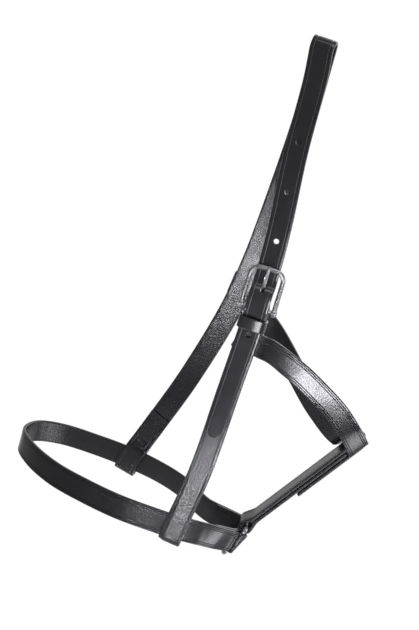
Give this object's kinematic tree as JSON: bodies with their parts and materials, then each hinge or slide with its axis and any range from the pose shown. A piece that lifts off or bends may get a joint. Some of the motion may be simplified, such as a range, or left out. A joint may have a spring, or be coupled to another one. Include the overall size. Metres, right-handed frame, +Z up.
{
  "type": "underhalter",
  "caption": "Light leather underhalter: a crown strap buckled at the near cheek, a closed noseband, a throat strap and a jowl strap to a jaw ring.",
  "frame": {"origin": "the highest point inside the crown fold, where a peg or the horse's poll carries the underhalter", "axes": "+Z up along the hanging length; -Y the near side with the buckle, +Y the off side; -X the nose, +X the jaw and throat"},
  "size_m": [0.3396, 0.1303, 0.513],
  "materials": {
    "crown_strap": "black smooth-faced bridle leather, waxed, flesh side rough",
    "near_cheek": "black pebble-grained bridle leather",
    "noseband": "black pebble-grained bridle leather",
    "throat_strap": "black pebble-grained bridle leather",
    "jowl_strap": "black bridle leather, folded in plies",
    "keeper": "black smooth-faced leather, glossed",
    "buckle_frame": "polished nickel-plated wire",
    "buckle_bar": "polished nickel-plated bar",
    "buckle_prong": "polished nickel-plated prong",
    "jaw_ring": "polished nickel-plated wire ring"
  },
  "bodies": {
    "halter": {"crown_strap": "crown_strap", "near_cheek": "near_cheek", "noseband": "noseband", "throat_strap": "throat_strap", "keeper": "keeper"},
    "buckle": {"buckle_frame": "buckle_frame", "buckle_bar": "buckle_bar"},
    "prong": {"buckle_prong": "buckle_prong"},
    "ring": {"jaw_ring": "jaw_ring"},
    "jowl": {"jowl_strap": "jowl_strap"}
  },
  "joints": [
    {"name": "buckle_swing", "type": "hinge", "parent": "halter", "child": "buckle", "pos_m": [0.0177, -0.031, -0.2505], "axis": [0.9945, 0.1046, 0.0018], "range_deg": [0, 1.5]},
    {"name": "prong_swing", "type": "hinge", "parent": "buckle", "child": "prong", "pos_m": [0.0177, -0.031, -0.2505], "axis": [0.9945, 0.1046, 0.0018], "range_deg": [0, 0.5]},
    {"name": "ring_slide", "type": "slide", "parent": "halter", "child": "ring", "axis": [0.3943, 0.1456, 0.9074], "range_m": [0, 0.0015]},
    {"name": "jowl_slide", "type": "slide", "parent": "ring", "child": "jowl", "axis": [-0.1803, 0.9818, 0.0601], "range_m": [-0.0008, 0.0008]}
  ]
}
